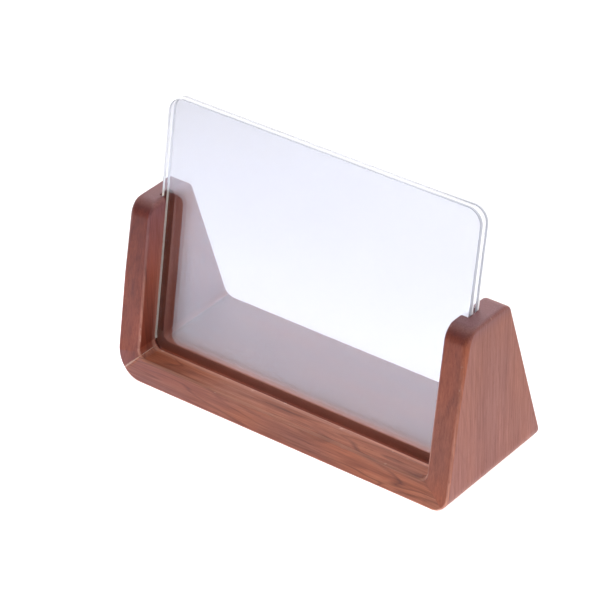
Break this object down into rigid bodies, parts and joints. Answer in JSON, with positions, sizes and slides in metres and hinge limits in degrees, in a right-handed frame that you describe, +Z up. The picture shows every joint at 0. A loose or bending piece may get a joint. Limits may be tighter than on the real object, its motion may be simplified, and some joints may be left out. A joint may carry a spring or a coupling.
{
  "type": "desk picture frame",
  "caption": "Free-standing walnut picture frame: a mitred U-shaped stand with a leaning groove that holds clear acrylic sheets, which lift out so a print can go between them.",
  "frame": {"origin": "on the table, in the middle of the frame's width and depth", "axes": "+X to the viewer's right along the rail, +Y to the back, +Z up"},
  "size_m": [0.2228, 0.0876, 0.1592],
  "materials": {
    "walnut_upright": "oiled walnut, grain running up the board",
    "walnut_rail": "oiled walnut, grain running along the board",
    "clear_acrylic": "clear, polished faces and edges",
    "dowel_wood": "plain beech"
  },
  "bodies": {
    "stand": {"left_upright": "walnut_upright", "right_upright": "walnut_upright", "base_rail": "walnut_rail", "left_front_dowel": "dowel_wood", "left_rear_dowel": "dowel_wood", "right_front_dowel": "dowel_wood", "right_rear_dowel": "dowel_wood"},
    "front_sheet": {"front_sheet": "clear_acrylic"},
    "rear_sheet": {"rear_sheet": "clear_acrylic"}
  },
  "joints": [
    {"name": "front_sheet_lift", "type": "slide", "parent": "stand", "child": "front_sheet", "axis": [0, 0.1736, 0.9848], "range_m": [0, 0.096]},
    {"name": "rear_sheet_lift", "type": "slide", "parent": "stand", "child": "rear_sheet", "axis": [0, 0.1736, 0.9848], "range_m": [0, 0.096]}
  ]
}
